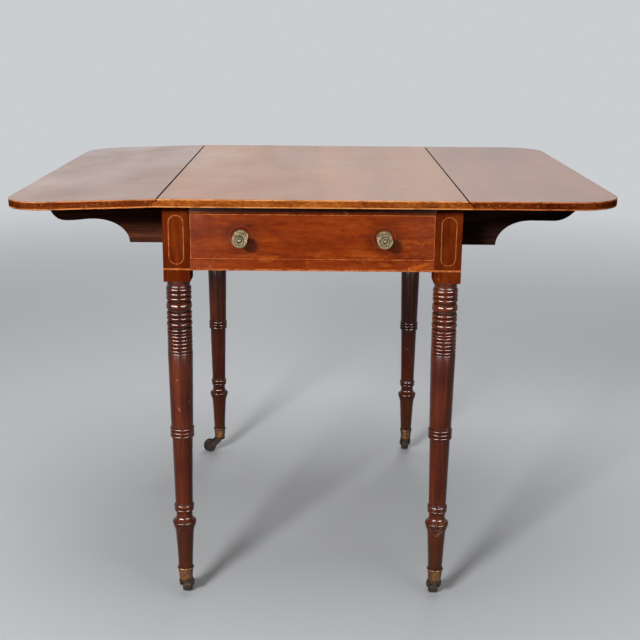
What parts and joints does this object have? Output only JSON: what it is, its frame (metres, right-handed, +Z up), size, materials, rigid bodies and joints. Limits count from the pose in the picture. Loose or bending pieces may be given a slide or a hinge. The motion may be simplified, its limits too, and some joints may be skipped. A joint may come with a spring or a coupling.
{
  "type": "pembroke table",
  "caption": "Drop-leaf occasional table with a frieze drawer, ring-turned legs on brass cup castors and hinged fly brackets that hold up the leaves.",
  "frame": {"origin": "on the floor, under the middle of the open table", "axes": "+Z up, -Y towards the drawer, +X to the right seen from the drawer"},
  "size_m": [1.0102, 0.814, 0.728],
  "materials": {
    "mahogany_top": "faded, waxed polish",
    "mahogany_frieze": "french polish",
    "mahogany_leg": "french polish",
    "bracket_wood": "thin stain, dull",
    "lining_wood": "bare, planed",
    "boxwood_string": "polished over",
    "knob_brass": "dulled, turned",
    "cup_brass": "worn patina",
    "castor_bronze": "dark patina",
    "iron": "wrought, browned"
  },
  "bodies": {
    "frame": {"fixed_top": "mahogany_top", "front_top_rail": "mahogany_frieze", "front_bottom_rail": "mahogany_frieze", "rear_rail": "mahogany_frieze", "sham_drawer_front": "mahogany_frieze", "front_left_leg": "mahogany_leg", "front_right_leg": "mahogany_leg", "rear_left_leg": "mahogany_leg", "rear_right_leg": "mahogany_leg", "left_fly_centre": "bracket_wood", "right_fly_centre": "bracket_wood", "left_knuckle_blocks": "bracket_wood", "right_knuckle_blocks": "bracket_wood", "left_inner_rail": "lining_wood", "right_inner_rail": "lining_wood", "left_runner": "lining_wood", "right_runner": "lining_wood", "left_kicker": "lining_wood", "right_kicker": "lining_wood", "drawer_stops": "lining_wood", "frame_stringing": "boxwood_string", "sham_knobs": "knob_brass", "sham_knob_roses": "knob_brass", "castor_cups": "cup_brass", "left_hinge_top_plates": "iron", "left_hinge_pins": "iron", "right_hinge_top_plates": "iron", "right_hinge_pins": "iron", "bracket_pins": "iron"},
    "drawer": {"drawer_front": "mahogany_frieze", "drawer_left_side": "lining_wood", "drawer_right_side": "lining_wood", "drawer_back": "lining_wood", "drawer_bottom": "lining_wood", "drawer_stringing": "boxwood_string", "drawer_left_knob": "knob_brass", "drawer_right_knob": "knob_brass", "drawer_knob_roses": "knob_brass"},
    "left_leaf": {"left_leaf": "mahogany_top", "left_hinge_leaf_plates": "iron"},
    "right_leaf": {"right_leaf": "mahogany_top", "right_hinge_leaf_plates": "iron"},
    "front_left_bracket": {"front_left_bracket": "bracket_wood"},
    "front_left_castor": {"front_left_castor_horn": "castor_bronze", "front_left_castor_axle": "iron"},
    "front_left_wheel": {"front_left_castor_wheel": "castor_bronze"},
    "front_right_bracket": {"front_right_bracket": "bracket_wood"},
    "front_right_castor": {"front_right_castor_horn": "castor_bronze", "front_right_castor_axle": "iron"},
    "front_right_wheel": {"front_right_castor_wheel": "castor_bronze"},
    "rear_left_bracket": {"rear_left_bracket": "bracket_wood"},
    "rear_left_castor": {"rear_left_castor_horn": "castor_bronze", "rear_left_castor_axle": "iron"},
    "rear_left_wheel": {"rear_left_castor_wheel": "castor_bronze"},
    "rear_right_bracket": {"rear_right_bracket": "bracket_wood"},
    "rear_right_castor": {"rear_right_castor_horn": "castor_bronze", "rear_right_castor_axle": "iron"},
    "rear_right_wheel": {"rear_right_castor_wheel": "castor_bronze"}
  },
  "joints": [
    {"name": "drawer_slide", "type": "slide", "parent": "frame", "child": "drawer", "axis": [0, -1, 0], "range_m": [0, 0.4]},
    {"name": "left_leaf_hinge", "type": "hinge", "parent": "frame", "child": "left_leaf", "pos_m": [-0.249, 0, 0.7158], "axis": [0, 1, 0], "range_deg": [0, 5]},
    {"name": "right_leaf_hinge", "type": "hinge", "parent": "frame", "child": "right_leaf", "pos_m": [0.249, 0, 0.7158], "axis": [0, -1, 0], "range_deg": [0, 5]},
    {"name": "front_left_bracket_swing", "type": "hinge", "parent": "frame", "child": "front_left_bracket", "pos_m": [-0.234, -0.28, 0.675], "axis": [0, 0, -1], "range_deg": [0, 90]},
    {"name": "front_left_castor_swivel", "type": "hinge", "parent": "frame", "child": "front_left_castor", "pos_m": [-0.223, -0.351, 0.036], "axis": [0, 0, 1], "continuous": true},
    {"name": "front_left_wheel_roll", "type": "hinge", "parent": "front_left_castor", "child": "front_left_wheel", "pos_m": [-0.223, -0.327, 0.015], "axis": [1, 0, 0], "continuous": true},
    {"name": "front_right_bracket_swing", "type": "hinge", "parent": "frame", "child": "front_right_bracket", "pos_m": [0.234, -0.28, 0.675], "axis": [0, 0, 1], "range_deg": [0, 90]},
    {"name": "front_right_castor_swivel", "type": "hinge", "parent": "frame", "child": "front_right_castor", "pos_m": [0.223, -0.351, 0.036], "axis": [0, 0, 1], "continuous": true},
    {"name": "front_right_wheel_roll", "type": "hinge", "parent": "front_right_castor", "child": "front_right_wheel", "pos_m": [0.223, -0.327, 0.015], "axis": [1, 0, 0], "continuous": true},
    {"name": "rear_left_bracket_swing", "type": "hinge", "parent": "frame", "child": "rear_left_bracket", "pos_m": [-0.234, 0.28, 0.675], "axis": [0, 0, 1], "range_deg": [0, 90]},
    {"name": "rear_left_castor_swivel", "type": "hinge", "parent": "frame", "child": "rear_left_castor", "pos_m": [-0.223, 0.351, 0.036], "axis": [0, 0, 1], "continuous": true},
    {"name": "rear_left_wheel_roll", "type": "hinge", "parent": "rear_left_castor", "child": "rear_left_wheel", "pos_m": [-0.247, 0.351, 0.015], "axis": [0, 1, 0], "continuous": true},
    {"name": "rear_right_bracket_swing", "type": "hinge", "parent": "frame", "child": "rear_right_bracket", "pos_m": [0.234, 0.28, 0.675], "axis": [0, 0, -1], "range_deg": [0, 90]},
    {"name": "rear_right_castor_swivel", "type": "hinge", "parent": "frame", "child": "rear_right_castor", "pos_m": [0.223, 0.351, 0.036], "axis": [0, 0, 1], "continuous": true},
    {"name": "rear_right_wheel_roll", "type": "hinge", "parent": "rear_right_castor", "child": "rear_right_wheel", "pos_m": [0.223, 0.375, 0.015], "axis": [1, 0, 0], "continuous": true}
  ]
}
